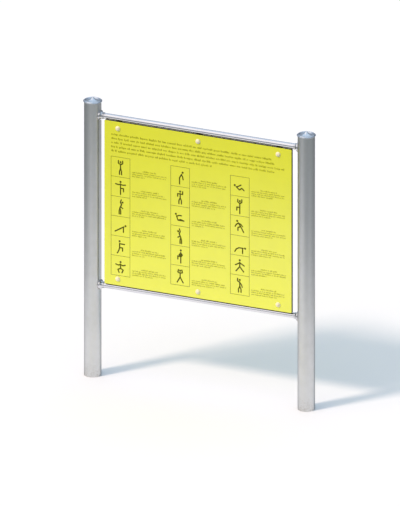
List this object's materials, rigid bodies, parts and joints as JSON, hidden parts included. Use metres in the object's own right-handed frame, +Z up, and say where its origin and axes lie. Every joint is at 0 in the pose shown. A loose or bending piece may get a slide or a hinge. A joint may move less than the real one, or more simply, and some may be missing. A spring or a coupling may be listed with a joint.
{
  "type": "park interpretation sign",
  "caption": "Tall yellow panel bolted between round rails and steel posts, with routed exercise figures in framed cells, domed bolt covers and turned post caps.",
  "frame": {"origin": "on the ground, midway between the two posts", "axes": "+Z up along the posts, +X from the left post to the right post as seen by a reader, -Y out of the panel's printed front"},
  "size_m": [1.482, 0.112, 1.7243],
  "materials": {
    "post_steel": "satin, brushed round the post",
    "rail_steel": "bright, lightly brushed",
    "fitting_steel": "bright",
    "cap_aluminium": "turned and polished",
    "panel_yellow": "fine orange-peel, ultraviolet stable",
    "panel_black": "fine orange-peel",
    "cap_plastic": "moulded, slightly glossy",
    "seal_rubber": "matt"
  },
  "bodies": {
    "root": {"bottom_left_bolt": "fitting_steel", "bottom_left_bolt_cap": "cap_plastic", "bottom_left_bolt_cap_base": "cap_plastic", "bottom_left_lug": "fitting_steel", "bottom_left_nut": "fitting_steel", "bottom_left_rail_collar": "fitting_steel", "bottom_left_set_screw": "fitting_steel", "bottom_left_washer": "fitting_steel", "bottom_middle_bolt": "fitting_steel", "bottom_middle_bolt_cap": "cap_plastic", "bottom_middle_bolt_cap_base": "cap_plastic", "bottom_middle_lug": "fitting_steel", "bottom_middle_nut": "fitting_steel", "bottom_middle_washer": "fitting_steel", "bottom_rail": "rail_steel", "bottom_right_bolt": "fitting_steel", "bottom_right_bolt_cap": "cap_plastic", "bottom_right_bolt_cap_base": "cap_plastic", "bottom_right_lug": "fitting_steel", "bottom_right_nut": "fitting_steel", "bottom_right_rail_collar": "fitting_steel", "bottom_right_set_screw": "fitting_steel", "bottom_right_washer": "fitting_steel", "left_cap_seal": "seal_rubber", "left_post": "post_steel", "left_post_cap": "cap_aluminium", "panel_back_skin": "panel_yellow", "panel_core": "panel_black", "panel_front_skin": "panel_yellow", "right_cap_seal": "seal_rubber", "right_post": "post_steel", "right_post_cap": "cap_aluminium", "top_left_bolt": "fitting_steel", "top_left_bolt_cap": "cap_plastic", "top_left_bolt_cap_base": "cap_plastic", "top_left_lug": "fitting_steel", "top_left_nut": "fitting_steel", "top_left_rail_collar": "fitting_steel", "top_left_set_screw": "fitting_steel", "top_left_washer": "fitting_steel", "top_middle_bolt": "fitting_steel", "top_middle_bolt_cap": "cap_plastic", "top_middle_bolt_cap_base": "cap_plastic", "top_middle_lug": "fitting_steel", "top_middle_nut": "fitting_steel", "top_middle_washer": "fitting_steel", "top_rail": "rail_steel", "top_right_bolt": "fitting_steel", "top_right_bolt_cap": "cap_plastic", "top_right_bolt_cap_base": "cap_plastic", "top_right_lug": "fitting_steel", "top_right_nut": "fitting_steel", "top_right_rail_collar": "fitting_steel", "top_right_set_screw": "fitting_steel", "top_right_washer": "fitting_steel"}
  },
  "joints": []
}
